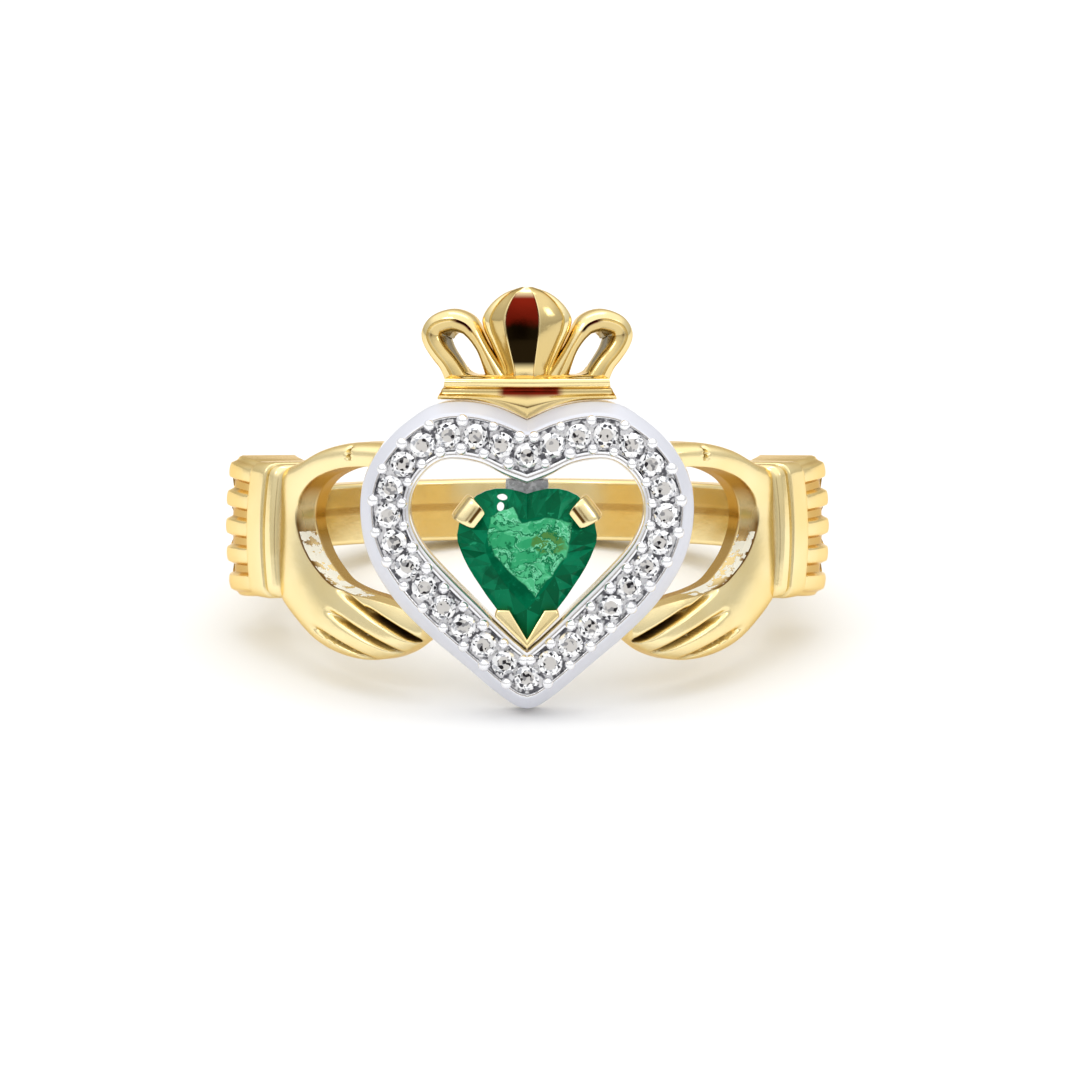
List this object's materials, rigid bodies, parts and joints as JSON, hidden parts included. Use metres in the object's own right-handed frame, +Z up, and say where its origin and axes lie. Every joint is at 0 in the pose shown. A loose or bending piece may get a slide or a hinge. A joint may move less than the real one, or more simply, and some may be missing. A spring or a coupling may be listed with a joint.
{
  "type": "claddagh ring with a heart stone",
  "caption": "Gold claddagh finger ring: two hands with ruffled cuffs hold a crowned, pavé-set white-gold heart frame around a claw-set heart-cut emerald.",
  "frame": {"origin": "middle of the ring's footprint, on the surface it lies on", "axes": "+X runs across the head from one cuff to the other, +Y from the heart at the front to the plain back of the band, +Z up; the ring lies on its side, so the finger hole runs nearly along Z and leans 14.4 degrees towards +Y"},
  "size_m": [0.0218, 0.0221, 0.0145],
  "materials": {
    "yellow_gold": "polished",
    "white_gold": "polished",
    "emerald": "polished",
    "diamond": "polished"
  },
  "bodies": {
    "root": {"band": "yellow_gold", "heart_halo": "white_gold", "crown": "yellow_gold", "emerald_setting": "yellow_gold", "emerald": "emerald", "diamond_01": "diamond", "diamond_02": "diamond", "diamond_03": "diamond", "diamond_04": "diamond", "diamond_05": "diamond", "diamond_06": "diamond", "diamond_07": "diamond", "diamond_08": "diamond", "diamond_09": "diamond", "diamond_10": "diamond", "diamond_11": "diamond", "diamond_12": "diamond", "diamond_13": "diamond", "diamond_14": "diamond", "diamond_15": "diamond", "diamond_16": "diamond", "diamond_17": "diamond", "diamond_18": "diamond", "diamond_19": "diamond", "diamond_20": "diamond", "diamond_21": "diamond", "diamond_22": "diamond", "diamond_23": "diamond", "diamond_24": "diamond", "diamond_25": "diamond", "diamond_26": "diamond", "diamond_27": "diamond", "diamond_28": "diamond", "diamond_29": "diamond", "diamond_30": "diamond"}
  },
  "joints": []
}
